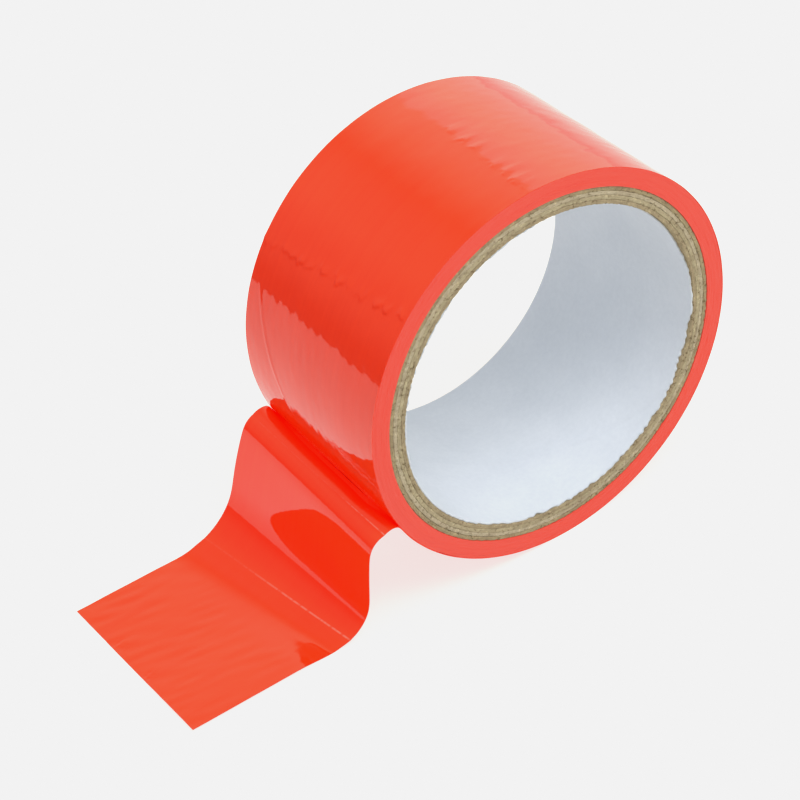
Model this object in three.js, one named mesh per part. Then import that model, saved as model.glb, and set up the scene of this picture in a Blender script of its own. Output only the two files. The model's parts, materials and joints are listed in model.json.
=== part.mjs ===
// A roll of smooth, glossy red film tape on a spiral-wound paper core. The roll stands on its rim, and its
// free end is peeled off low on one side, folded over, dropped to the surface and laid flat.
//
// Millimetres, +Z up. Y is the roll's axis and the free end points to -X. The origin is the middle of the
// flat on which the roll stands, straight below the axis.
import * as THREE from "three";

// ---- Driving dimensions: the roll ----
const TAPE_WIDTH = 49.3;
const ROLL_RADIUS = 47.0;
const BORE_RADIUS = 38.1; // a three-inch bore
const CORE_WIDTH = 49.0;
const LINER_THICKNESS = 0.4;
const PLY_THICKNESS = 1.0;
const PLY_COUNT = 4;
const LAYER_GAP = 0.02; // between glued paper layers
const OUTER_TURN_THICKNESS = 0.4;
const TURNING_GAP = 0.1; // lets the wound tape turn inside its outermost turn
const RING_SEGMENTS = 72;

// ---- Driving dimensions: the free end ----
const FILM = 0.2;
const SEGMENT_GAP = 0.3; // between the lengths into which the film is divided
const PEEL_RADIUS = 1.2; // how tightly the film bends where it leaves the roll
const PEEL_CLEARANCE = 0.06;
const FLOOR_DRIFT = Math.tan(THREE.MathUtils.degToRad(2.38)); // sideways lean of the flat run
const FOOT_DRIFT = 5.1; // how far the film has moved sideways when it reaches the surface
const END_HINGE_X = -82; // where the last length of the film can be lifted

// The two long edges of the film, with angles in degrees. peelAngle is measured down from the roll's
// leftmost line, and lean is how far the drop starts off the vertical.
const EDGES = [
  { side: -1, peelAngle: 22.6, peelTurn: 63, humpRadius: 6.2, lean: 6.1, bow: 2.4, footRadius: 10.6, endX: -97.7 },
  { side: 1, peelAngle: 18.3, peelTurn: 63.3, humpRadius: 5.4, lean: 23.3, bow: 8.8, footRadius: 18.7, endX: -100 },
];

// ---- Values worked out from them ----
// The lowest facet of the round outline is the flat at z = 0.
const AXIS_HEIGHT = ROLL_RADIUS * Math.cos(Math.PI / RING_SEGMENTS);
const CORE_OUTER_RADIUS = BORE_RADIUS + LINER_THICKNESS + PLY_COUNT * PLY_THICKNESS;
const UPWARD = 90;
const DOWNWARD = 270;
const OUTWARD = 180;

// ---- Materials ----
const film = new THREE.MeshStandardMaterial({ color: 0xea3a22, roughness: 0.12, metalness: 0 });
const woundFilm = new THREE.MeshStandardMaterial({ color: 0xf0604f, roughness: 0.45, metalness: 0 });
const kraftPaper = new THREE.MeshStandardMaterial({ color: 0xa5916e, roughness: 0.9, metalness: 0 });
const whitePaper = new THREE.MeshStandardMaterial({ color: 0xdfe5ec, roughness: 0.7, metalness: 0 });

const roll = new THREE.Group();

// ---- Rings about the roll's axis ----

// A tube about Y with square ends, turned so that a facet faces straight down.
function addRing(name, innerRadius, outerRadius, width, material) {
  const half = width / 2;
  const outline = [
    new THREE.Vector2(innerRadius, -half),
    new THREE.Vector2(outerRadius, -half),
    new THREE.Vector2(outerRadius, half),
    new THREE.Vector2(innerRadius, half),
    new THREE.Vector2(innerRadius, -half),
  ];
  const ring = new THREE.Mesh(
    new THREE.LatheGeometry(outline, RING_SEGMENTS, Math.PI / RING_SEGMENTS),
    material,
  );
  ring.name = name;
  ring.position.z = AXIS_HEIGHT;
  roll.add(ring);
}

function addCore() {
  const linerOuter = BORE_RADIUS + LINER_THICKNESS;
  addRing("core_liner", BORE_RADIUS, linerOuter, CORE_WIDTH, whitePaper);
  for (let ply = 1; ply <= PLY_COUNT; ply += 1) {
    const outer = linerOuter + ply * PLY_THICKNESS;
    addRing(`core_ply_${ply}`, outer - PLY_THICKNESS + LAYER_GAP, outer, CORE_WIDTH, kraftPaper);
  }
}

function addWoundTape() {
  const outerTurnInner = ROLL_RADIUS - OUTER_TURN_THICKNESS;
  addRing("wound_tape", CORE_OUTER_RADIUS + LAYER_GAP, outerTurnInner - TURNING_GAP, TAPE_WIDTH, woundFilm);
  addRing("outer_turn", outerTurnInner, ROLL_RADIUS, TAPE_WIDTH, film);
}

// ---- The free end ----

// One arc, or a straight length where turn is 0, of an edge seen from the side. Headings are in degrees
// from +X towards +Z.
function makeSpan(start, length, turn) {
  const radius = turn === 0 ? Infinity : length / THREE.MathUtils.degToRad(turn);
  return {
    length,
    at(fraction) {
      const heading = start.heading + turn * fraction;
      const from = THREE.MathUtils.degToRad(start.heading);
      const to = THREE.MathUtils.degToRad(heading);
      if (turn === 0) {
        const run = length * fraction;
        return { x: start.x + run * Math.cos(from), z: start.z + run * Math.sin(from), heading };
      }
      return {
        x: start.x + radius * (Math.sin(to) - Math.sin(from)),
        z: start.z - radius * (Math.cos(to) - Math.cos(from)),
        heading,
      };
    },
  };
}

function arcLength(radius, turn) {
  return Math.abs(THREE.MathUtils.degToRad(turn)) * radius;
}

// The spans of one edge in order: peel, hump, riser, foot, run, end.
function edgeSpans(edge, riserLength) {
  const spans = [];
  const radius = ROLL_RADIUS + FILM / 2 + PEEL_CLEARANCE;
  const angle = THREE.MathUtils.degToRad(edge.peelAngle);
  let tip = {
    x: -radius * Math.cos(angle),
    z: AXIS_HEIGHT - radius * Math.sin(angle),
    heading: UPWARD + edge.peelAngle,
  };
  const add = (length, turn) => {
    const span = makeSpan(tip, length, turn);
    spans.push(span);
    tip = span.at(1);
  };
  add(arcLength(PEEL_RADIUS, edge.peelTurn), edge.peelTurn);
  const humpTurn = DOWNWARD - edge.lean - tip.heading;
  add(arcLength(edge.humpRadius, humpTurn), humpTurn);
  add(riserLength, edge.bow);
  const footTurn = OUTWARD - tip.heading;
  add(arcLength(edge.footRadius, footTurn), footTurn);
  add(tip.x - END_HINGE_X, 0);
  add(tip.x - edge.endX, 0);
  return spans;
}

// The drop is as long as it takes for the film to lie on the surface, and its height is linear in it.
function landedSpans(edge) {
  const restHeight = (riserLength) => edgeSpans(edge, riserLength)[3].at(1).z - FILM / 2;
  const short = 10;
  const long = 20;
  const fall = (restHeight(short) - restHeight(long)) / (long - short);
  return edgeSpans(edge, short + restHeight(short) / fall);
}

const PATHS = EDGES.map((edge) => ({ side: edge.side, spans: landedSpans(edge) }));
const SPAN = { peel: 0, hump: 1, riser: 2, foot: 3, run: 4, end: 5 };

// The film moves sideways evenly until it reaches the surface, and then along its own slant.
function sidewaysDrift(spans, index, fraction) {
  const upTo = (count) => spans.slice(0, count).reduce((sum, span) => sum + span.length, 0);
  const travelled = upTo(index) + fraction * spans[index].length;
  const toSurface = upTo(SPAN.run);
  const onSurface = Math.max(0, travelled - toSurface);
  return (FOOT_DRIFT * Math.min(travelled, toSurface)) / toSurface + onSurface * FLOOR_DRIFT;
}

// The four corners of the film's section at one station: the front edge's two faces, then the back edge's.
function sectionAt({ index, fraction }) {
  return PATHS.flatMap(({ side, spans }) => {
    const { x, z, heading } = spans[index].at(fraction);
    const y = (side * TAPE_WIDTH) / 2 + sidewaysDrift(spans, index, fraction);
    const angle = THREE.MathUtils.degToRad(heading);
    const nx = (-Math.sin(angle) * FILM) / 2;
    const nz = (Math.cos(angle) * FILM) / 2;
    return [new THREE.Vector3(x + nx, y, z + nz), new THREE.Vector3(x - nx, y, z - nz)];
  });
}

// A closed strip through a list of stations, four corners to a station.
function stripGeometry(stations) {
  const positions = stations.flatMap((station) => sectionAt(station).flatMap((p) => p.toArray()));
  const around = [0, 1, 3, 2]; // the section's corners in order
  const faces = [];
  for (let row = 0; row < stations.length - 1; row += 1) {
    for (let k = 0; k < 4; k += 1) {
      const a = row * 4 + around[k];
      const b = row * 4 + around[(k + 1) % 4];
      faces.push(a, b, b + 4, a, b + 4, a + 4);
    }
  }
  const last = (stations.length - 1) * 4;
  faces.push(0, 2, 3, 0, 3, 1);
  faces.push(last, last + 3, last + 2, last, last + 1, last + 3);
  const geometry = new THREE.BufferGeometry();
  geometry.setAttribute("position", new THREE.Float32BufferAttribute(positions, 3));
  geometry.setIndex(faces);
  geometry.computeVertexNormals();
  return geometry;
}

// Stations along whole spans, shortened at both ends so that neighbours stay apart.
function stationsAlong(spanSteps) {
  const stations = [];
  const trim = (index) => SEGMENT_GAP / 2 / Math.min(...PATHS.map(({ spans }) => spans[index].length));
  spanSteps.forEach(([index, steps], place) => {
    const from = place === 0 ? trim(index) : 0;
    const to = place === spanSteps.length - 1 ? 1 - trim(index) : 1;
    for (let k = place === 0 ? 0 : 1; k <= steps; k += 1) {
      stations.push({ index, fraction: THREE.MathUtils.lerp(from, to, k / steps) });
    }
  });
  return stations;
}

function addFilm(name, spanSteps) {
  const strip = new THREE.Mesh(stripGeometry(stationsAlong(spanSteps)), film);
  strip.name = name;
  roll.add(strip);
}

function addTail() {
  addFilm("tail_fold", [[SPAN.peel, 6], [SPAN.hump, 14]]);
  addFilm("tail_riser", [[SPAN.riser, 5]]);
  addFilm("tail_foot", [[SPAN.foot, 12]]);
  addFilm("tail_run", [[SPAN.run, 1]]);
  addFilm("tail_end", [[SPAN.end, 1]]);
}

addCore();
addWoundTape();
addTail();

export default roll;
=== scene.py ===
"""A roll of glossy red film tape on a paper core, with its free end laid out flat.

The wound film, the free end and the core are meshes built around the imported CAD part. Their
lengths are in millimetres until a mesh is made, and the roll's axis runs along Y. The camera, the
lights and the floor are placed in metres.
"""

import json
import math

import bmesh
import bpy
import numpy as np
from mathutils import Matrix, Vector


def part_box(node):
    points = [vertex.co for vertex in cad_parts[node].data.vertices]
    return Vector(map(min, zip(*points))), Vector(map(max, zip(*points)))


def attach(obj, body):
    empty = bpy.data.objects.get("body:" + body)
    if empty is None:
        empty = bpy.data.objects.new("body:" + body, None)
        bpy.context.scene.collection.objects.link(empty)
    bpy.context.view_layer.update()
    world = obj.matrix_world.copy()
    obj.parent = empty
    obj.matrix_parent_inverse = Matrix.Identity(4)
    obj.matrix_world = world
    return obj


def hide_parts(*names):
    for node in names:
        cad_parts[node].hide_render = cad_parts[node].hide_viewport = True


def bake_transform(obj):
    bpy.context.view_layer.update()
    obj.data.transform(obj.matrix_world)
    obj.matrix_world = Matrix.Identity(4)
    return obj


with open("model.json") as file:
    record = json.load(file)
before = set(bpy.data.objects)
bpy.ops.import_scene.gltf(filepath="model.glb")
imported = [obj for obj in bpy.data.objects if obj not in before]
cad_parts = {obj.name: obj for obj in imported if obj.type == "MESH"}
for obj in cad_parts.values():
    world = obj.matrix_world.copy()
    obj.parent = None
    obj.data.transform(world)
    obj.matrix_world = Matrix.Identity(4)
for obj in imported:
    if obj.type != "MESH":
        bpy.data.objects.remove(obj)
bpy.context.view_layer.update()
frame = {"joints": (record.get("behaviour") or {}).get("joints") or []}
scene = bpy.context.scene

MM = 0.001


# ---------------------------------------------------------------- sizes, from the CAD frame


def node_radius(node):
    """Outer radius of a ring-shaped CAD node about the roll's axis, in millimetres."""
    low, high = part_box(node)
    return (high.x - low.x) / 2 / MM


def joint_place(name):
    """A hinge's position in the frame, in metres."""
    return next(joint for joint in frame["joints"] if joint["name"] == name)["pos_m"]


roll_low, roll_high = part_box("outer_turn")
liner_low, liner_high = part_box("core_liner")
AXIS_HEIGHT = (roll_low.z + roll_high.z) / 2 / MM
ROLL_RADIUS = node_radius("outer_turn")
TAPE_WIDTH = (roll_high.y - roll_low.y) / MM
CORE_WIDTH = (liner_high.y - liner_low.y) / MM
PLY_COUNT = 4
PLY_RADII = [node_radius(f"core_ply_{k}") for k in range(1, PLY_COUNT + 1)]
LINER_OUTER_RADIUS = node_radius("core_liner")
LINER_THICKNESS = 0.4
BORE_RADIUS = LINER_OUTER_RADIUS - LINER_THICKNESS
LINER_LAP_ANGLE = 251.0  # where the spiral lap crosses the middle of the core, degrees from +X
LINER_LAP_SLOPE = -2.87  # degrees round for each millimetre along
LAYER_GAP = 0.03  # between neighbouring rings of the core and the wound film

FILM = 0.15  # thickness of the film with its adhesive coat
SPIRAL_PITCH = 0.17  # how far one turn lies below the next
TURN_COUNT = 30
OVERLAP = 14.0  # how far the outermost turn goes on underneath its own start
WHOLE_TURN = 2 * math.pi * ROLL_RADIUS + OVERLAP

# The free end, seen from the side. Where there are two values, the first is for the front edge of
# the film and the second for the back edge.
PEEL_RADIUS = 1.2
PEEL_ANGLE = (22.6, 18.3)  # degrees below the roll's leftmost line
PEEL_TURN = (63.0, 63.3)  # degrees that the film turns at the peel line
HUMP_RADIUS = (6.2, 5.4)  # of the bend from the peel line over into the drop
LEAN = (6.1, 23.3)  # degrees off the vertical where the drop starts
BOW = (2.4, 8.8)  # degrees that the drop bends along its length
FOOT_RADIUS = (10.6, 18.7)  # of the bend from the drop into the flat run
FOOT_DRIFT = 5.1  # how far the film has moved sideways where it reaches the floor
FLOOR_DRIFT = math.tan(math.radians(2.38))  # and for each millimetre along the floor
cut_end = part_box("tail_end")[0].x / MM
END_X = (cut_end + 2.15, cut_end - 0.15)  # the cut is not quite square
HINGE_X = joint_place("end_lift")[0] / MM
SEAM_STATION = 2.5  # halfway down the drop, where two lengths of film meet
BEND_SOFTNESS = (0.7, 2.4)  # how gently one bend passes into the next: at the peel line, and beyond
CREASE_SAG = 1.1  # how far the film sinks beside the peel line, midway across
CREASE_DIMPLE = 0.35  # and how much further at a quarter of the width
SAG_DIRECTION = (-0.75, -0.65)  # in X and Z
RUN_TILT = (0.082, 0.012)  # slope of the run just beyond the foot

# Marks on the film. Distances along the free end are measured from the peel line.
CHATTER_HEIGHT = 0.13
CHATTER_LOWER_SIDE = 0.55  # width of the steep side of a mark
HUMP_RIDGE = 4.3  # distance to the low ridge on the hump
HUMP_RIDGE_HEIGHT = 0.38
FOOT_LINE_HEIGHT = 0.05
FOOT_LINE_BEFORE_FLOOR = 5.1  # how far before the end of the foot the pressed line lies
FOOT_LINE_SLANT = 4.2  # and how much further before it at the back edge
FOOT_TROUGH_DEPTH = 0.16
RUN_MOTTLING = 0.022  # height of the shallow ripples of the flat run
NICKS = (19.4, 20.6, 31.4, 32.2, 33.6)  # at the cut end, measured in from the front edge
NICK_HEIGHT = 0.16

# Ripples as (height, size along the film, size across it, seed).
ROLL_RIPPLES = ((0.0085, 7.5, 3.1, 11), (0.0022, 3.2, 1.7, 12), (0.022, 70.0, 16.0, 13))
FREE_RIPPLES = ((0.004, 12.0, 5.0, 14), (0.0012, 14.0, 1.6, 15))

# Painted glints: thin pale lines in the film's colour that stand in for the highlights along sharp
# bends, as (distance from the peel line, how much further for each millimetre in from the front
# edge, half width, the two widths over which it fades).
PAINTED_GLINT_LINES = ((35.9, 0.095, 0.30, (20, 36)), (4.2, 0.02, 0.24, (10, 17)))
PAINTED_GLINT_COLOUR = (0.90, 0.165, 0.115, 1)

# Painted glow: emission that stands in for light coming through a single layer of film, as
# (millimetres past the peel line, colour).
PAINTED_GLOW = (
    (-4.0, (0, 0, 0)),
    (-0.4, (0.42, 0.001, 0)),
    (0.4, (0.42, 0.001, 0)),
    (4.0, (0.24, 0.003, 0)),
)
PAINTED_GLOW_SPAN = 20.0  # length of film that the colour ramp covers, with the peel line midway


# ---------------------------------------------------------------- small helpers


def waves(x, y, size_x, size_y, seed, count=24):
    """Smooth noise of about unit height whose bumps are size_x by size_y across."""
    rng = np.random.default_rng(seed)
    total = np.zeros(np.broadcast(x, y).shape)
    for _ in range(count):
        reach = rng.uniform(0.5, 1.4)
        angle = rng.uniform(0, 2 * math.pi)
        phase = rng.uniform(0, 2 * math.pi)
        across_x = math.cos(angle) * reach * 2 * math.pi / size_x
        across_y = math.sin(angle) * reach * 2 * math.pi / size_y
        total += np.cos(across_x * x + across_y * y + phase)
    return total * math.sqrt(2 / count)


def ring_waves(theta, y, lobes, size_y, seed, count=24):
    """The same round the roll: theta in radians, with no seam, and up to that many lobes."""
    rng = np.random.default_rng(seed)
    total = np.zeros(np.broadcast(theta, y).shape)
    for _ in range(count):
        turns = rng.integers(max(1, lobes // 6), lobes + 1)
        along = rng.uniform(-1.4, 1.4) * 2 * math.pi / size_y
        total += np.cos(turns * theta + along * y + rng.uniform(0, 2 * math.pi))
    return total * math.sqrt(2 / count)


def bump_at(x, centre, width):
    """A bell one high, down to about a third of that at width from its centre."""
    return np.exp(-(((x - centre) / width) ** 2))


def smoothstep(x, low, high):
    """0 below low, 1 above high, and a soft rise between them."""
    t = np.clip((x - low) / (high - low), 0, 1)
    return t * t * (3 - 2 * t)


def plateau(x, rise, full, last_full, fall):
    """0 up to rise, 1 from full to last_full, and 0 again beyond fall."""
    return smoothstep(x, rise, full) * (1 - smoothstep(x, last_full, fall))


def new_object(name, vertices_mm, faces, material):
    """A smooth mesh object from vertices in millimetres and a list of faces."""
    mesh = bpy.data.meshes.new(name)
    mesh.from_pydata((np.asarray(vertices_mm) * MM).tolist(), [], faces)
    mesh.polygons.foreach_set("use_smooth", [True] * len(mesh.polygons))
    mesh.materials.append(material)
    mesh.validate()
    mesh.update()
    made = bpy.data.objects.new(name, mesh)
    scene.collection.objects.link(made)
    return made


def add_uv(made, name, coordinates):
    """A UV map from one pair of coordinates for each vertex."""
    layer = made.data.uv_layers.new(name=name)
    corners = np.zeros(len(made.data.loops), int)
    made.data.loops.foreach_get("vertex_index", corners)
    layer.data.foreach_set("uv", coordinates[corners].ravel())


def grid_faces(rows, columns, wrapped=False):
    """Quads over a grid numbered row by row, and closed in both directions if wrapped."""
    faces = []
    for r in range(rows if wrapped else rows - 1):
        below = r * columns
        above = (r + 1) % rows * columns
        for c in range(columns if wrapped else columns - 1):
            after = (c + 1) % columns
            faces.append((below + c, below + after, above + after, above + c))
    return faces


def mark_sharp(made, degrees):
    """Edges that turn by more than this stay crisp."""
    made.data.set_sharp_from_angle(angle=math.radians(degrees))


# ---------------------------------------------------------------- node materials


class Surface:
    """A node material with one Principled shader and short calls for the nodes it needs."""

    def __init__(self, name, roughness, ior=1.5, specular=0.5):
        self.material = bpy.data.materials.new(name)
        self.material.use_nodes = True
        self.tree = self.material.node_tree
        self.shader = self.tree.nodes["Principled BSDF"]
        self.set("Roughness", roughness)
        self.set("IOR", ior)
        self.set("Specular IOR Level", specular)

    def set(self, socket, value):
        self.shader.inputs[socket].default_value = value

    def to(self, socket, source):
        self.link(source, self.shader.inputs[socket])

    def node(self, kind, **settings):
        made = self.tree.nodes.new(kind)
        for key, value in settings.items():
            setattr(made, key, value)
        return made

    def link(self, source, target):
        self.tree.links.new(source, target)

    def coordinates(self, scale, uv=None):
        """Stretched coordinates: of a UV map of the mesh, or of the object."""
        if uv:
            source = self.node("ShaderNodeUVMap", uv_map=uv).outputs["UV"]
        else:
            source = self.node("ShaderNodeTexCoord").outputs["Object"]
        mapping = self.node("ShaderNodeMapping")
        mapping.inputs["Scale"].default_value = scale
        self.link(source, mapping.inputs["Vector"])
        return mapping.outputs["Vector"]

    def film_place(self, scale):
        """The place along and across the film, stretched."""
        parts = self.node("ShaderNodeSeparateXYZ")
        self.link(self.coordinates(scale, uv="film"), parts.inputs["Vector"])
        return parts.outputs["X"], parts.outputs["Y"]

    def calculate(self, operation, *terms):
        """One math node: each term is a number or an output."""
        made = self.node("ShaderNodeMath", operation=operation)
        for socket, term in zip(made.inputs, terms):
            if isinstance(term, (int, float)):
                socket.default_value = term
            else:
                self.link(term, socket)
        return made.outputs["Value"]

    def noise(self, vector, scale, detail=2.0, roughness=0.5):
        made = self.node("ShaderNodeTexNoise")
        made.inputs["Scale"].default_value = scale
        made.inputs["Detail"].default_value = detail
        made.inputs["Roughness"].default_value = roughness
        self.link(vector, made.inputs["Vector"])
        return made.outputs["Fac"]

    def ramp(self, factor, stops):
        """Colours along a factor: stops are (position, colour)."""
        made = self.node("ShaderNodeValToRGB")
        elements = made.color_ramp.elements
        while len(elements) < len(stops):
            elements.new(0.5)
        for element, (position, colour) in zip(elements, stops):
            element.position = position
            element.color = (*colour, 1)
        self.link(factor, made.inputs["Fac"])
        return made.outputs["Color"]

    def mix(self, factor, first, second, blend="MIX"):
        """Two colours mixed. The factor may be a number, and the second colour a tuple."""
        made = self.node("ShaderNodeMix", data_type="RGBA", blend_type=blend)
        if isinstance(factor, float):
            made.inputs["Factor"].default_value = factor
        else:
            self.link(factor, made.inputs["Factor"])
        self.link(first, made.inputs[6])
        if isinstance(second, tuple):
            made.inputs[7].default_value = second
        else:
            self.link(second, made.inputs[7])
        return made.outputs[2]

    def spread(self, factor, low, high, start=0.0, end=1.0):
        """low at start and high at end, held beyond them."""
        made = self.node("ShaderNodeMapRange")
        made.inputs["From Min"].default_value = start
        made.inputs["From Max"].default_value = end
        made.inputs["To Min"].default_value = low
        made.inputs["To Max"].default_value = high
        self.link(factor, made.inputs["Value"])
        return made.outputs["Result"]

    def bump(self, height, distance_mm, strength=1.0, before=None):
        made = self.node("ShaderNodeBump")
        made.inputs["Strength"].default_value = strength
        made.inputs["Distance"].default_value = distance_mm * MM
        self.link(height, made.inputs["Height"])
        if before is not None:
            self.link(before, made.inputs["Normal"])
        return made.outputs["Normal"]


def painted_glint_line(surface, place, slope, half_width, fade):
    """A painted glint: a thin pale line in the film's colour across the film where it was bent
    sharply, broken along its length.

    It lies place + slope * w millimetres from the peel line, w millimetres in from the front edge,
    and fades away over the two widths in fade.
    """
    along, in_from_front = surface.film_place((1 / MM, 1 / MM, 1))
    line = surface.calculate("MULTIPLY_ADD", in_from_front, -slope, -place)
    away = surface.calculate("ABSOLUTE", surface.calculate("ADD", along, line))
    near = surface.spread(away, 0.0, 1.0, half_width, 0.3 * half_width)
    lasting = surface.spread(in_from_front, 0.12, 1.0, fade[1], fade[0])
    breaks = surface.noise(surface.coordinates((300, 900, 1), uv="film"), 1.0)
    kept = surface.spread(breaks, 0.25, 1.0, 0.38, 0.52)
    return surface.calculate("MULTIPLY", surface.calculate("MULTIPLY", near, lasting), kept)


def film_material():
    """Smooth plastic film: fine lengthwise streaks, a faint haze, painted glint lines and a painted
    glow.
    """
    surface = Surface("film_red_gloss", roughness=0.05, ior=1.48)
    streaks = surface.noise(surface.coordinates((12, 900, 1), uv="film"), 1.0, 3)
    clouds = surface.noise(surface.coordinates((60, 60, 1), uv="film"), 1.0)
    colour = surface.mix(
        0.35,
        surface.ramp(streaks, [(0.3, (0.86, 0.029, 0.0025)), (0.7, (0.90, 0.036, 0.0040))]),
        surface.ramp(clouds, [(0.3, (0.85, 0.028, 0.0025)), (0.7, (0.91, 0.038, 0.0045))]),
    )
    # Painted glints: pale lines mixed into the film's colour, standing in for highlights along
    # sharp bends.
    for mark in PAINTED_GLINT_LINES:
        colour = surface.mix(painted_glint_line(surface, *mark), colour, PAINTED_GLINT_COLOUR)
    surface.to("Base Color", colour)
    surface.to("Roughness", surface.spread(clouds, 0.03, 0.075))
    # Painted glow: emission near the peel line, standing in for light that comes through the film.
    along, _ = surface.film_place((1 / (PAINTED_GLOW_SPAN * MM), 1, 1))
    stops = [(place / PAINTED_GLOW_SPAN + 0.5, glow) for place, glow in PAINTED_GLOW]
    surface.to("Emission Color", surface.ramp(surface.calculate("ADD", along, 0.5), stops))
    surface.set("Emission Strength", 1.0)
    orange_peel = surface.noise(surface.coordinates((420, 420, 1), uv="film"), 1.0)
    relief = surface.bump(streaks, 0.003)
    surface.to("Normal", surface.bump(orange_peel, 0.004, before=relief))
    return surface.material


def film_edge_material():
    """The ends of the wound turns: satin, slightly paler, with rings a film's thickness apart."""
    surface = Surface("film_edges_coral", roughness=0.42, ior=1.45)
    rings = surface.noise(surface.coordinates((4500, 40, 1), uv="ring"), 1.0, 3, 0.6)
    bands = surface.noise(surface.coordinates((700, 14, 1), uv="ring"), 1.0)
    colour = surface.mix(
        0.5,
        surface.ramp(rings, [(0.25, (0.80, 0.052, 0.028)), (0.75, (0.90, 0.080, 0.050))]),
        surface.ramp(bands, [(0.3, (0.82, 0.056, 0.032)), (0.7, (0.90, 0.076, 0.046))]),
    )
    surface.to("Base Color", colour)
    surface.to("Roughness", surface.spread(rings, 0.34, 0.5))
    surface.to("Normal", surface.bump(rings, 0.03, 0.7))
    return surface.material


def kraft_material(name, dark, light):
    """Cut kraft board: streaks along the ply, blotches, and dark and pale specks."""
    surface = Surface(name, roughness=0.9, specular=0.25)
    streaks = surface.noise(surface.coordinates((2600, 160, 160), uv="ring"), 1.0, 5, 0.65)
    blotches = surface.noise(surface.coordinates((1, 1, 1)), 420, 4, 0.6)
    specks = surface.noise(surface.coordinates((1, 1, 1)), 1500)
    base = surface.mix(
        0.5,
        surface.ramp(streaks, [(0.3, dark), (0.55, light), (0.8, dark)]),
        surface.ramp(blotches, [(0.35, dark), (0.65, light)]),
    )
    speck_stops = [
        (0.30, (0.50, 0.45, 0.38)),
        (0.42, (1, 1, 1)),
        (0.62, (1, 1, 1)),
        (0.74, (1.45, 1.45, 1.4)),
    ]
    dirt = surface.ramp(specks, speck_stops)
    surface.to("Base Color", surface.mix(1.0, base, dirt, "MULTIPLY"))
    relief = surface.bump(streaks, 0.12)
    surface.to("Normal", surface.bump(blotches, 0.08, before=relief))
    return surface.material


def liner_material():
    """White core paper: very fine grain and a slight blue cast."""
    surface = Surface("liner_white_paper", roughness=0.62, specular=0.3)
    grain = surface.noise(surface.coordinates((1, 1, 1)), 900, 4, 0.6)
    clouds = surface.noise(surface.coordinates((1, 1, 1)), 90, 3)
    colour = surface.mix(
        0.5,
        surface.ramp(grain, [(0.3, (0.598, 0.636, 0.692)), (0.7, (0.666, 0.702, 0.754))]),
        surface.ramp(clouds, [(0.3, (0.598, 0.636, 0.692)), (0.7, (0.676, 0.712, 0.764))]),
    )
    surface.to("Base Color", colour)
    surface.to("Normal", surface.bump(grain, 0.02, 0.6))
    return surface.material


# ---------------------------------------------------------------- the film


def across(pair, v):
    """A value that runs evenly from the front edge (v = 0) to the back edge (v = 1)."""
    return pair[0] + (pair[1] - pair[0]) * v


def run_lift(past_foot, v):
    """Height of the flat run over the surface: the film is springy and leaves it past the foot."""
    covered = np.clip(past_foot, 0, None)
    steps = np.linspace(0, 1, 60)[:, None] * covered
    steepest = across(RUN_TILT, smoothstep(v, 0.05, 0.6))
    slope = steepest * plateau(steps, 0, 1.2, 5, 11)
    return slope.mean(axis=0) * covered


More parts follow.
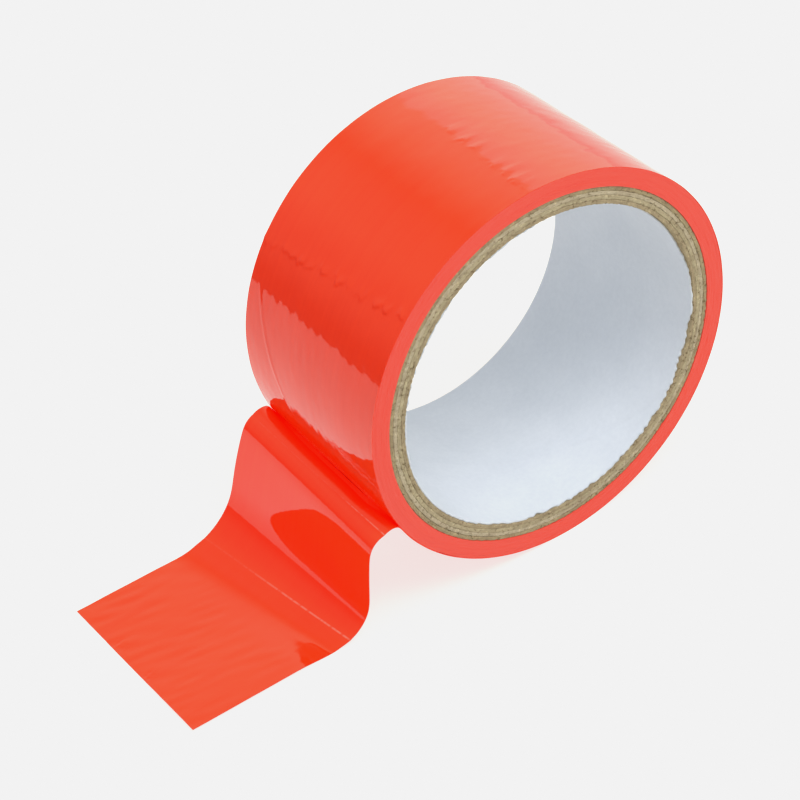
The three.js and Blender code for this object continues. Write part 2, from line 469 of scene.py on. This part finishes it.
class FilmPath:
    """The film seen from the side, one path for each place v across its width.

    Distances run along the film from the peel line: negative on the roll, positive on the free end.
    A station is a span number plus a fraction: 0 peel, 1 hump, 2 drop, 3 foot, 4 flat to the
    hinge, 5 flat to the cut end.
    """

    STEP = 0.1
    LEAD = 4.0  # how far back on the roll a path starts
    REACH = 90.0  # and how far past the peel line it ends
    LAST_SPAN = 5
    FIRST_GUESS = 15.0  # length of the drop

    def __init__(self, v):
        self.v = v
        self.middle_radius = ROLL_RADIUS - FILM / 2
        drop = np.full(v.shape, self.FIRST_GUESS)
        for _ in range(4):
            error = self._follow(drop)
            slope = np.sin(np.radians(270 - across(LEAN, v) + across(BOW, v) / 2))
            drop = drop - error / slope
        self._follow(drop)
        to_hinge = self.flat_distance(HINGE_X)
        self.starts = np.vstack([self.starts, to_hinge, self.length_to_end()])

    def _follow(self, drop):
        """Walks every path with this length of drop, and returns how far off the floor it ends."""
        v = self.v
        lean = across(LEAN, v)
        bow = across(BOW, v)
        peel_angle = across(PEEL_ANGLE, v)
        peel_turn = across(PEEL_TURN, v)
        hump_turn = 270 - lean - (90 + peel_angle + peel_turn)
        foot_turn = 180 - (270 - lean + bow)
        turns = np.radians(np.stack([peel_turn, hump_turn, bow, foot_turn]))
        peel_radius = np.full(v.shape, PEEL_RADIUS)
        radii = np.stack([peel_radius, across(HUMP_RADIUS, v), drop, across(FOOT_RADIUS, v)])
        lengths = np.abs(turns) * radii
        lengths[2] = drop
        self.starts = np.vstack([np.zeros(v.shape), np.cumsum(lengths, axis=0)])

        # The heading along the path, with each bend softened into the next.
        distance = np.arange(-self.LEAD, self.REACH, self.STEP)
        half = int(3 * BEND_SOFTNESS[1] / self.STEP)
        offsets = np.arange(-half, half + 1) * self.STEP
        crisp, gentle = (bump_at(offsets, 0, width) for width in BEND_SOFTNESS)
        wider = np.arange(-half, len(distance) + half) * self.STEP - self.LEAD
        beyond = smoothstep(distance, 2.5, 8.0)
        heading = np.zeros((len(v), len(distance)))
        first = math.pi / 2 + np.radians(peel_angle)
        on_roll = 20.0  # a length of the roll, well before the path starts
        for column in range(len(v)):
            knots = [-on_roll, *self.starts[:, column]]
            turned = [on_roll / self.middle_radius, 0, *np.cumsum(turns[:, column])]
            exact = first[column] + np.interp(wider, knots, turned)
            near_peel = np.convolve(exact, crisp / crisp.sum(), mode="valid")
            heading[column] = np.convolve(exact, gentle / gentle.sum(), mode="valid") * beyond
            heading[column] += near_peel * (1 - beyond)

        start = np.radians(peel_angle) + self.LEAD / self.middle_radius
        start_x = -self.middle_radius * np.cos(start)
        start_z = AXIS_HEIGHT - self.middle_radius * np.sin(start)
        self.distance = distance
        self.heading = heading
        self.x = start_x[:, None] + np.cumsum(np.cos(heading), axis=1) * self.STEP
        self.z = start_z[:, None] + np.cumsum(np.sin(heading), axis=1) * self.STEP
        on_floor = self.distance > self.starts[4].max() + 8
        return self.z[:, on_floor].mean(axis=1) - FILM / 2

    def flat_distance(self, x):
        """Distance along the film at which its flat part reaches x, for every v."""
        return self.distance[-1] - (x - self.x[:, -1])

    def length_to_end(self):
        """Distance along the film at which it is cut off, for every v."""
        return self.flat_distance(across(END_X, self.v))

    def at(self, station):
        """Distance, x, z and heading for every v at one station."""
        k = min(int(station), self.LAST_SPAN)
        start = self.starts[k]
        stop = self.starts[k + 1]
        return self.at_distance(start + (stop - start) * (station - k))

    def at_distance(self, distance):
        """The same at any distance, with the sag of the crease and the lift of the run."""
        place = (distance + self.LEAD) / self.STEP - 1
        low = np.clip(place.astype(int), 0, len(self.distance) - 2)
        part = place - low
        row = np.arange(len(self.v))
        x = self.x[row, low] * (1 - part) + self.x[row, low + 1] * part
        z = self.z[row, low] * (1 - part) + self.z[row, low + 1] * part
        heading = self.heading[row, low] * (1 - part) + self.heading[row, low + 1] * part
        depth = CREASE_SAG * (1 - np.abs(2 * self.v - 1) ** 3)
        depth = depth + CREASE_DIMPLE * bump_at(self.v, 0.24, 0.09)
        sag = depth * bump_at(distance, 1.0, 2.1)
        x = x + SAG_DIRECTION[0] * sag
        z = z + SAG_DIRECTION[1] * sag
        past_foot = distance - self.starts[4] + 1.0
        return distance, x, z + run_lift(past_foot, self.v), heading

    def on_roll(self, back):
        """The same on the wound part, back millimetres before the peel line."""
        back = np.broadcast_to(back, self.v.shape)
        angle = np.radians(across(PEEL_ANGLE, self.v)) + back / self.middle_radius
        radius = self.middle_radius - SPIRAL_PITCH * back / (2 * math.pi * self.middle_radius)
        x = -radius * np.cos(angle)
        z = AXIS_HEIGHT - radius * np.sin(angle)
        return -back, x, z, math.pi / 2 + angle

    def drift(self, distance):
        """How far the film has moved sideways at a distance."""
        to_floor = self.starts[4]
        before = np.clip(distance, 0, to_floor) * FOOT_DRIFT / to_floor
        return before + np.clip(distance - to_floor, 0, None) * FLOOR_DRIFT


def angle_above_left(distance, v):
    """Degrees above the roll's leftmost line of a point of the wound part."""
    return 360 + np.degrees(distance / ROLL_RADIUS) - across(PEEL_ANGLE, v)


def chatter_line(phi, y, middle, slope, seed, upper_side):
    """A broken line of small lapped marks across the roll, at middle + slope * y degrees.

    Each mark is steep below and falls away above over upper_side millimetres.
    """
    wander = 0.55 * waves(y, 0 * y, 4.2, 9, seed) + 0.45 * waves(y, 0 * y, 1.4, 9, seed + 1)
    strength = np.clip(0.7 + 0.5 * waves(y, 0 * y, 4.0, 9, seed + 2), 0.1, 1.4)
    arc = np.radians(phi - (middle + slope * y + wander)) * ROLL_RADIUS
    below = bump_at(arc, 0, CHATTER_LOWER_SIDE)
    above = bump_at(arc, 0, upper_side)
    return CHATTER_HEIGHT * strength * np.where(arc < 0, below, above)


def film_relief(distance, v):
    """How far the film stands out of its even path, in millimetres: ripples and chatter marks."""
    w = v * TAPE_WIDTH
    y = w - TAPE_WIDTH / 2
    phi = angle_above_left(distance, v)
    on_roll = 1 - smoothstep(distance, -6, 0)
    relief = np.zeros(np.broadcast(distance, v).shape)
    for ripples, share in ((ROLL_RIPPLES, on_roll), (FREE_RIPPLES, 1 - on_roll)):
        for height, along, sideways, seed in ripples:
            relief = relief + share * height * waves(distance, w, along, sideways, seed)

    relief = relief + chatter_line(phi, y, middle=41.6, slope=-0.13, seed=16, upper_side=1.3)
    near_top = chatter_line(phi, y, middle=90.8, slope=0.08, seed=26, upper_side=3.0)
    relief = relief + 0.75 * near_top * (1 - smoothstep(y, 4, 10))

    # A soft crease along the roll near its far side.
    crease_y = 11.7 + 0.345 * phi - 0.0002 * phi**2
    return relief + 0.10 * bump_at(y, crease_y, 0.42) * plateau(phi, -12, 0, 22, 30)


def free_end_marks(path, distance):
    """A ridge on the hump, a pressed line at the foot, mottling, and nicks at the cut end."""
    v = path.v
    w = v * TAPE_WIDTH

    foot_line = path.starts[4] - FOOT_LINE_BEFORE_FLOOR - FOOT_LINE_SLANT * v
    foot_line = foot_line + 0.12 * waves(w, 0 * w, 5.0, 9, seed=19)
    beyond_line = distance - foot_line
    strength = 0.45 + 0.55 * (1 - smoothstep(v, 0.35, 0.62))
    strength = strength * np.clip(0.8 + 0.5 * waves(w, 0 * w, 2.2, 9, seed=20), 0.15, 1.2)
    marks = FOOT_LINE_HEIGHT * strength * bump_at(beyond_line, 0, 0.4)
    marks = marks - FOOT_TROUGH_DEPTH * bump_at(beyond_line, 2.4, 1.7)

    ridge_place = HUMP_RIDGE + 0.5 * smoothstep(v, 0.2, 0.5)
    ridge_height = HUMP_RIDGE_HEIGHT - 0.10 * smoothstep(v, 0.25, 0.5)
    before_ridge = np.clip((distance - 1.2) / (ridge_place - 1.2), 0, 1) ** 2
    after_ridge = np.clip(1 - (distance - ridge_place) / 5, 0, 1) ** 2
    marks = marks + ridge_height * before_ridge * after_ridge

    on_run = smoothstep(distance, 44, 52)
    mottling = waves(distance, w - 0.16 * distance, 12.0, 3.4, seed=22)
    marks = marks + on_run * RUN_MOTTLING * mottling

    before_end = path.length_to_end() - distance
    for across_mm in NICKS:
        nick = bump_at(w, across_mm + 0.3 * before_end, 0.20)
        marks = marks + NICK_HEIGHT * nick * plateau(before_end, 0.2, 0.8, 1.5, 4.0)
    return marks


def film_strip(name, path, stations, material):
    """A closed strip of film through a list of stations, one point across for each v of the path.

    A station is ("roll", millimetres before the peel line) or ("free", span plus fraction).
    """
    v = path.v
    middle = []
    uv = []
    for kind, place in stations:
        y = (v - 0.5) * TAPE_WIDTH
        if kind == "roll":
            distance, x, z, heading = path.on_roll(place)
            relief = film_relief(distance, v)
        else:
            distance, x, z, heading = path.at(place)
            y = y + path.drift(distance)
            relief = film_relief(distance, v) + free_end_marks(path, distance)
        x = x - np.sin(heading) * relief
        z = z + np.cos(heading) * relief
        middle.append(np.stack([x, y, z], axis=1))
        uv.append(np.stack([distance * MM, v * TAPE_WIDTH * MM], axis=1))
    middle = np.array(middle)
    along = np.gradient(middle, axis=0)
    sideways = np.gradient(middle, axis=1)
    normal = np.cross(sideways, along)
    normal /= np.linalg.norm(normal, axis=2, keepdims=True)
    outer = (middle + normal * FILM / 2).reshape(-1, 3)
    inner = (middle - normal * FILM / 2).reshape(-1, 3)

    rows, columns = len(stations), len(v)
    count = rows * columns
    top = grid_faces(rows, columns)
    faces = top + [tuple(count + k for k in reversed(face)) for face in top]
    rim = [(0, c) for c in range(columns - 1)]
    rim += [(r, columns - 1) for r in range(rows - 1)]
    rim += [(rows - 1, c) for c in range(columns - 1, 0, -1)]
    rim += [(r, 0) for r in range(rows - 1, 0, -1)]
    loop = [r * columns + c for r, c in rim]
    for here, there in zip(loop, loop[1:] + loop[:1]):
        faces.append((there, here, here + count, there + count))
    made = new_object(name, np.vstack([outer, inner]), faces, material)
    add_uv(made, "film", np.vstack(uv + uv))
    mark_sharp(made, 50)
    return made


def wound_stations():
    """Places on the roll, back to front, closer together under the two lines of chatter marks."""
    turn = np.linspace(0, WHOLE_TURN, 20000)
    back_angle = np.degrees(turn / ROLL_RADIUS)
    density = np.full(turn.shape, 1.6)
    for band in ((270, 288, 308, 326), (228, 240, 256, 268)):
        density = density + 5.4 * plateau(back_angle, *band)
    count_so_far = np.cumsum(density) * (turn[1] - turn[0])
    places = np.interp(np.linspace(count_so_far[-1], 0, 860), count_so_far, turn)
    return [("roll", place) for place in places[:-1]]


def free_stations(*spans):
    """Stations along spans of (start, stop, count), each starting where the last one stops."""
    places = []
    for start, stop, count in spans:
        places = places[:-1] + list(np.linspace(start, stop, count))
    return [("free", place) for place in places]


def build_film(material):
    """The outermost turn and the free end, in three lengths that meet where it is straight."""
    path = FilmPath(np.linspace(0, 1, 131))
    upper = wound_stations() + free_stations((0, 1, 14), (1, 2, 70), (2, SEAM_STATION, 18))
    lower = free_stations((SEAM_STATION, 3, 18), (3, 4, 120), (4, 5, 34))
    tip = free_stations((5, 6, 50))
    outer_turn = film_strip("outer_turn_film", path, upper, material)
    drop = film_strip("falling_film", path, lower, material)
    end = film_strip("flat_end_film", path, tip, material)
    return path, outer_turn, drop, end


# ---------------------------------------------------------------- rings about the axis


def turned_ring(name, profile, material, segments, shift):
    """A closed ring about the roll's axis.

    profile is a closed outline of (radius, y), and shift(theta, radius, y) moves its points.
    """
    theta = np.linspace(0, 2 * math.pi, segments, endpoint=False)[:, None]
    radius = np.array([p[0] for p in profile])[None, :] + 0 * theta
    y = np.array([p[1] for p in profile])[None, :] + 0 * theta
    radius, y = shift(theta, radius, y)
    points = np.stack([radius * np.cos(theta), y, AXIS_HEIGHT + radius * np.sin(theta)], axis=2)
    faces = grid_faces(segments, len(profile), wrapped=True)
    made = new_object(name, points.reshape(-1, 3), faces, material)
    coordinates = np.stack([radius * MM, theta * radius * MM + y * MM], axis=2)
    add_uv(made, "ring", coordinates.reshape(-1, 2))
    return made


def build_wound_tape(material):
    """All the turns below the outermost one: their edges stand a hair apart on both ends."""
    rng = np.random.default_rng(5)
    inner = PLY_RADII[-1] + LAYER_GAP
    outer = ROLL_RADIUS - 0.25  # clear of the outermost turn, which spirals inward
    edges = np.linspace(inner, outer, TURN_COUNT + 1)
    half = TAPE_WIDTH / 2
    groove = half - 0.04

    def end_face():
        points = []
        for low, high in zip(edges[:-1], edges[1:]):
            stand = half - 0.015 + rng.normal(0, 0.008)
            step = (high - low) / 8
            points += [(low, groove), (low + step, stand), (high - step, stand)]
        return points + [(outer, groove)]

    front = [(radius, -y) for radius, y in end_face()]
    back = end_face()[::-1]

    def shift(theta, radius, y):
        wander = 0.012 * ring_waves(theta, radius, 40, 1.2, seed=21)
        return radius, y + wander * np.sign(y) * (np.abs(y) > half - 1)

    made = turned_ring("wound_tape_turns", front + back, material, 720, shift)
    mark_sharp(made, 60)
    return made


def build_plies(materials):
    """Four kraft plies whose cut ends are rough and stand at slightly different heights."""
    made = []
    half = CORE_WIDTH / 2
    inner = LINER_OUTER_RADIUS
    # How far the cut end is sunk at places from a ply's inner side to its outer side.
    sunk = [0.07, 0.03, 0, 0.03, 0, 0.04, 0, 0.04]
    outer_corners = (0.07, 0.07, 0.18, 0.07)  # the last place, one for each ply
    for k, outer in enumerate(PLY_RADII):
        crown = sunk + [outer_corners[k]]
        radii = np.linspace(inner + LAYER_GAP, outer - LAYER_GAP, len(crown))
        front = [(r, -(half - sink)) for r, sink in zip(radii, crown)]
        back = [(r, half - sink) for r, sink in zip(radii[::-1], crown[::-1])]

        def shift(theta, radius, y, seed=30 + k):
            at_end = np.abs(y) > half - 1
            rough = 0.05 * ring_waves(theta, radius * 3, 240, 1.6, seed)
            rough = rough + 0.04 * ring_waves(theta, y, 30, 9, seed + 9)
            radius = radius + at_end * 0.035 * ring_waves(theta, radius * 4, 300, 2.0, seed + 20)
            return radius, y - np.sign(y) * at_end * np.clip(rough + 0.05, 0, 0.4)

        made.append(turned_ring(f"kraft_ply_{k + 1}", front + back, materials[k], 900, shift))
        inner = outer
    return made


def build_liner(material):
    """The white paper inside the core, with its spiral lap and a rough, worn front edge."""
    half = CORE_WIDTH / 2
    rows = np.linspace(-half, half, 110)
    profile = [(LINER_OUTER_RADIUS - 0.02, y) for y in rows]
    profile += [(BORE_RADIUS, y) for y in rows[::-1]]

    def shift(theta, radius, y):
        inside = radius < LINER_OUTER_RADIUS - LINER_THICKNESS / 2
        turn = np.degrees(theta) % 360
        past_lap = (turn - (LINER_LAP_ANGLE + LINER_LAP_SLOPE * y) + 180) % 360 - 180
        step = 0.10 * plateau(past_lap, -0.25, 0.25, 6, 26)
        ragged = 0.30 + 0.13 * ring_waves(theta, 0 * y, 150, 5, seed=41)
        ragged = ragged + 0.13 * ring_waves(theta, 0 * y, 34, 5, seed=42)
        # Two stretches of the front edge are worn back, at upper right and at lower right.
        worn = 1.5 * plateau(turn, 8, 24, 62, 96) + 0.5 * plateau(turn, 325, 331, 347, 352)
        back_off = np.where(y < 0, np.clip(ragged, 0.08, 0.9) + worn, 0.15)
        near_end = smoothstep(np.abs(y), half - 3.5, half)
        y = y - np.sign(y) * near_end * back_off
        return radius - inside * step, y

    return turned_ring("liner_paper", profile, material, 720, shift)


# ---------------------------------------------------------------- build the pieces

film = film_material()
film_edges = film_edge_material()
kraft = [
    kraft_material("kraft_inner_ply", (0.237, 0.181, 0.106), (0.4, 0.325, 0.2)),
    kraft_material("kraft_second_ply", (0.275, 0.219, 0.131), (0.463, 0.394, 0.25)),
    kraft_material("kraft_third_ply", (0.312, 0.25, 0.163), (0.512, 0.438, 0.3)),
    kraft_material("kraft_outer_ply", (0.225, 0.169, 0.1), (0.413, 0.338, 0.194)),
]
white_paper = liner_material()

path, outer_film, drop_film, end_film = build_film(film)
wound_tape = build_wound_tape(film_edges)
plies = build_plies(kraft)
liner = build_liner(white_paper)

for ply, piece in enumerate(plies, start=1):
    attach(piece, "roll")
    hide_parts(f"core_ply_{ply}")
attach(liner, "roll")
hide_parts("core_liner")
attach(wound_tape, "roll")
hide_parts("wound_tape")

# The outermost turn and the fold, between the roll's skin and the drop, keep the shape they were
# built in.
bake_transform(outer_film)
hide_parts("outer_turn", "tail_fold")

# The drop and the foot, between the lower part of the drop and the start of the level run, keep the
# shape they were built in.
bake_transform(drop_film)
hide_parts("tail_riser", "tail_foot", "tail_run")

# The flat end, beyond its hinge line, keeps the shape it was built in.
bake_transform(end_film)
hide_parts("tail_end")


seam = path.at(SEAM_STATION)[0]


# ---------------------------------------------------------------- camera

TARGET = Vector((-24.81, 0, 37.98)) * MM
CAMERA_AZIMUTH = math.radians(-28.20)
CAMERA_ELEVATION = math.radians(40.20)
CAMERA_ROLL = math.radians(-10.20)
CAMERA_DISTANCE = 0.46236
CAMERA_LENS = 95.19  # focal length in millimetres, for a frame 36 mm wide


def build_camera():
    """The photograph's viewpoint: aimed at TARGET and tilted about the line of sight."""
    data = bpy.data.cameras.new("camera")
    data.sensor_width = 36
    data.lens = CAMERA_LENS
    data.clip_start = 0.01
    camera = bpy.data.objects.new("camera", data)
    scene.collection.objects.link(camera)
    back = Vector((
        math.sin(CAMERA_AZIMUTH) * math.cos(CAMERA_ELEVATION),
        -math.cos(CAMERA_AZIMUTH) * math.cos(CAMERA_ELEVATION),
        math.sin(CAMERA_ELEVATION),
    ))
    right = (-back).cross(Vector((0, 0, 1))).normalized()
    up = back.cross(right)
    tilted_right = math.cos(CAMERA_ROLL) * right + math.sin(CAMERA_ROLL) * up
    tilted_up = -math.sin(CAMERA_ROLL) * right + math.cos(CAMERA_ROLL) * up
    turn = Matrix((tilted_right, tilted_up, back)).transposed().to_4x4()
    camera.matrix_world = Matrix.Translation(TARGET + back * CAMERA_DISTANCE) @ turn
    scene.camera = camera


# ---------------------------------------------------------------- studio

# The studio round the table: its brightness by angle about the roll's axis, in degrees from the
# horizon on the right (0) over the ceiling (90) to the horizon on the left (180), as
# (angle, red and green, blue).
ROOM_BRIGHTNESS = (
    (-31, 0.96, 0.90),
    (-21, 1.14, 1.06),
    (0, 1.32, 1.17),
    (10, 1.48, 1.28),
    (20, 1.70, 1.39),
    (31, 1.93, 1.52),
    (41, 2.00, 1.65),
    (51, 1.92, 1.62),
    (54, 1.56, 1.10),
    (62, 1.50, 1.06),
    (73, 1.36, 0.90),
    (84, 1.00, 0.63),
    (94, 0.68, 0.42),
    (105, 0.80, 0.54),
    (116, 0.87, 0.60),
    (127, 0.92, 0.63),
    (137, 0.79, 0.58),
    (148, 0.62, 0.50),
    (159, 0.56, 0.46),
    (170, 0.34, 0.32),
    (178, 0.20, 0.22),
    (200, 0.18, 0.20),
    (260, 0.30, 0.30),
)
ROOM_RADIUS = 5.0
FLOOR_REACH = 6.0
FLOOR_DROP = 0.00002  # keeps the floor just clear of what lies on it
REFLECTED_FLOOR_EDGE = -0.481  # the floor left of this x doesn't show in reflections
PAPER_WHITE = 0.888  # what the photograph's whites come to


def room_material():
    """Softboxes and walls as one glow whose brightness follows ROOM_BRIGHTNESS."""
    material = bpy.data.materials.new("room_glow")
    material.use_nodes = True
    tree = material.node_tree
    tree.nodes.clear()
    place = tree.nodes.new("ShaderNodeTexCoord")
    parts = tree.nodes.new("ShaderNodeSeparateXYZ")
    angle = tree.nodes.new("ShaderNodeMath")
    angle.operation = "ARCTAN2"
    lowest, highest = ROOM_BRIGHTNESS[0][0], ROOM_BRIGHTNESS[-1][0]
    wrap = tree.nodes.new("ShaderNodeMath")
    wrap.operation = "WRAP"
    wrap.inputs[1].default_value = math.radians(lowest + 360)
    wrap.inputs[2].default_value = math.radians(lowest)
    span = tree.nodes.new("ShaderNodeMapRange")
    span.inputs["From Min"].default_value = math.radians(lowest)
    span.inputs["From Max"].default_value = math.radians(highest)
    ramp = tree.nodes.new("ShaderNodeValToRGB")
    elements = ramp.color_ramp.elements
    while len(elements) < len(ROOM_BRIGHTNESS):
        elements.new(0.5)
    brightest = max(stop[1] for stop in ROOM_BRIGHTNESS)
    for element, (degrees, level, blue) in zip(elements, ROOM_BRIGHTNESS):
        element.position = (degrees - lowest) / (highest - lowest)
        element.color = (level / brightest, level / brightest, blue / brightest, 1)
    emission = tree.nodes.new("ShaderNodeEmission")
    emission.inputs["Strength"].default_value = brightest
    output = tree.nodes.new("ShaderNodeOutputMaterial")
    tree.links.new(place.outputs["Object"], parts.inputs["Vector"])
    tree.links.new(parts.outputs["Z"], angle.inputs[0])
    tree.links.new(parts.outputs["X"], angle.inputs[1])
    tree.links.new(angle.outputs["Value"], wrap.inputs[0])
    tree.links.new(wrap.outputs["Value"], span.inputs["Value"])
    tree.links.new(span.outputs["Result"], ramp.inputs["Fac"])
    tree.links.new(ramp.outputs["Color"], emission.inputs["Color"])
    tree.links.new(emission.outputs["Emission"], output.inputs["Surface"])
    return material


def stage_object(name, mesh):
    """An object of the studio, apart from the part itself."""
    made = bpy.data.objects.new(name, mesh)
    scene.collection.objects.link(made)
    return made


def build_room():
    """A large shell round the table that shows only in reflections."""
    shape = bmesh.new()
    bmesh.ops.create_icosphere(shape, subdivisions=4, radius=ROOM_RADIUS)
    bmesh.ops.reverse_faces(shape, faces=shape.faces)
    mesh = bpy.data.meshes.new("room")
    shape.to_mesh(mesh)
    shape.free()
    mesh.materials.append(room_material())
    room = stage_object("room", mesh)
    room.visible_camera = False
    room.visible_diffuse = False
    room.visible_shadow = False
    room.visible_transmission = False


def area_light(name, place, aim, size, power):
    """A square softbox that doesn't show in reflections."""
    data = bpy.data.lights.new(name, "AREA")
    data.shape = "RECTANGLE"
    data.size = size
    data.size_y = size
    data.energy = power
    light = bpy.data.objects.new(name, data)
    light.location = place
    light.rotation_euler = (Vector(aim) - Vector(place)).to_track_quat("-Z", "Y").to_euler()
    light.visible_glossy = False
    scene.collection.objects.link(light)


def floor_material():
    """A pale, lit tabletop: mostly even, so that shadows on it stay faint."""
    surface = Surface("pale_floor", roughness=0.8, specular=0.1)
    surface.set("Base Color", (0.42, 0.39, 0.32, 1))
    surface.set("Emission Color", (1, 1, 1, 1))
    surface.set("Emission Strength", 0.69)
    return surface.material


def build_floor():
    """One floor in two parts, of which only the nearer one shows in reflections."""
    material = floor_material()
    near = ("floor", REFLECTED_FLOOR_EDGE, FLOOR_REACH)
    beyond = ("floor_beyond", -FLOOR_REACH, REFLECTED_FLOOR_EDGE)
    for name, low, high in (near, beyond):
        mesh = bpy.data.meshes.new(name)
        front = [(x, -FLOOR_REACH, -FLOOR_DROP) for x in (low, high)]
        back = [(x, FLOOR_REACH, -FLOOR_DROP) for x in (high, low)]
        mesh.from_pydata(front + back, [], [(0, 1, 2, 3)])
        mesh.materials.append(material)
        ground = stage_object(name, mesh)
        ground.visible_glossy = name == "floor"


def build_studio():
    """Soft daylight from all round, with three softboxes."""
    world = bpy.data.worlds.new("studio")
    world.use_nodes = True
    background = world.node_tree.nodes["Background"]
    background.inputs["Color"].default_value = (0.93, 0.96, 1.0, 1)
    background.inputs["Strength"].default_value = 0.52
    world.cycles_visibility.glossy = False
    scene.world = world
    area_light("key_above_front", (0.25, -0.45, 0.95), aim=(-0.02, 0, 0.02), size=0.6, power=7.0)
    area_light("fill_above_left", (-0.28, -0.20, 0.97), aim=(-0.02, 0, 0.03), size=0.7, power=0.8)
    area_light("back_above", (-0.20, 0.90, 0.60), aim=(0, 0, 0.04), size=0.8, power=3.5)
    build_room()


def set_exposure():
    """A plain display transform whose whites stop at the photograph's paper grey."""
    view = scene.view_settings
    view.view_transform = "Standard"
    view.use_curve_mapping = True
    mapping = view.curve_mapping
    mapping.clip_max_x = 4.0
    mapping.clip_max_y = 4.0
    curve = mapping.curves[3]
    curve.points[0].location = (0, 0)
    curve.points[1].location = (4.0, PAPER_WHITE)
    # Straight up to 0.78, then a soft shoulder up to the paper white.
    for level, shown in ((0.78, 0.78), (0.86, 0.852), (0.94, 0.883), (1.05, PAPER_WHITE)):
        curve.points.new(level, shown)
    for point in curve.points:
        point.handle_type = "AUTO_CLAMPED"
    mapping.update()


build_camera()
build_floor()
build_studio()
set_exposure()
